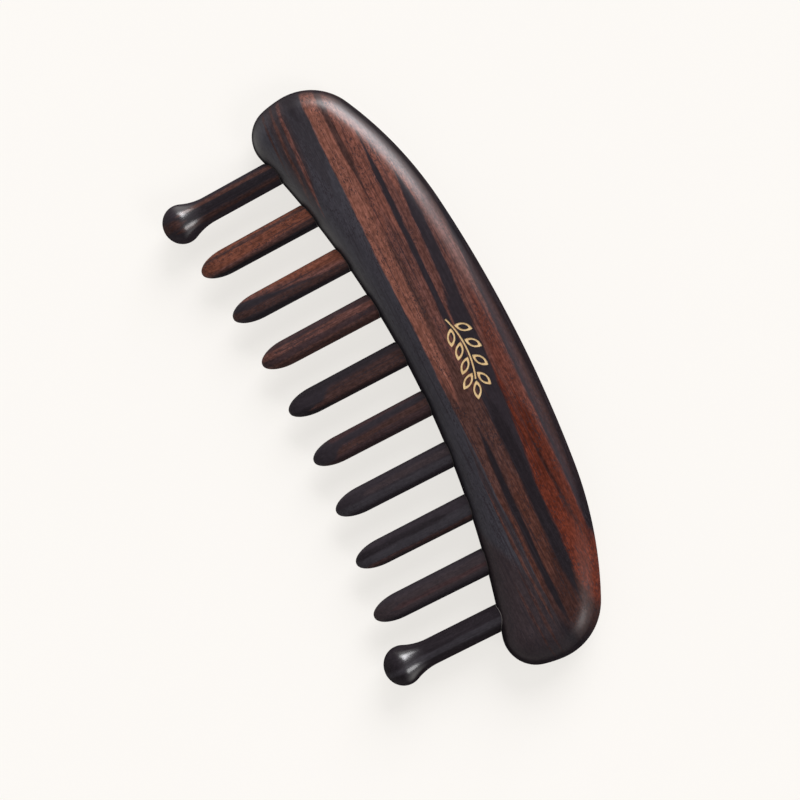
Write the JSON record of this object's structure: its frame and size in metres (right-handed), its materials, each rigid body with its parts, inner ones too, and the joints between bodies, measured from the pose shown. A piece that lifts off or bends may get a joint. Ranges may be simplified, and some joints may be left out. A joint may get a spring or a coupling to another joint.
{
  "type": "wide tooth comb",
  "caption": "Wide tooth comb with a curved rounded wooden back, separate inserted round-nosed teeth, ball-ended outer teeth and a gold-filled leaf sprig.",
  "frame": {"origin": "middle of the comb's footprint, on the flat of its back face", "axes": "+X along the comb, +Y from the teeth towards the spine, +Z out of the front face that carries the sprig"},
  "size_m": [0.1596, 0.0697, 0.012],
  "materials": {
    "back_wood": "satin oiled hardwood, black and red-brown stripes along the comb",
    "tooth_wood": "satin oiled hardwood, grain along each tooth",
    "glue": "dried wood glue, thin line at each tooth's root",
    "gold": "soft matt gold in a shallow engraving"
  },
  "bodies": {
    "root": {"back": "back_wood", "ball_tooth_1": "tooth_wood", "plain_tooth_2": "tooth_wood", "plain_tooth_3": "tooth_wood", "plain_tooth_4": "tooth_wood", "plain_tooth_5": "tooth_wood", "plain_tooth_6": "tooth_wood", "plain_tooth_7": "tooth_wood", "plain_tooth_8": "tooth_wood", "plain_tooth_9": "tooth_wood", "ball_tooth_10": "tooth_wood", "tooth_glue": "glue", "gold_sprig": "gold"}
  },
  "joints": []
}
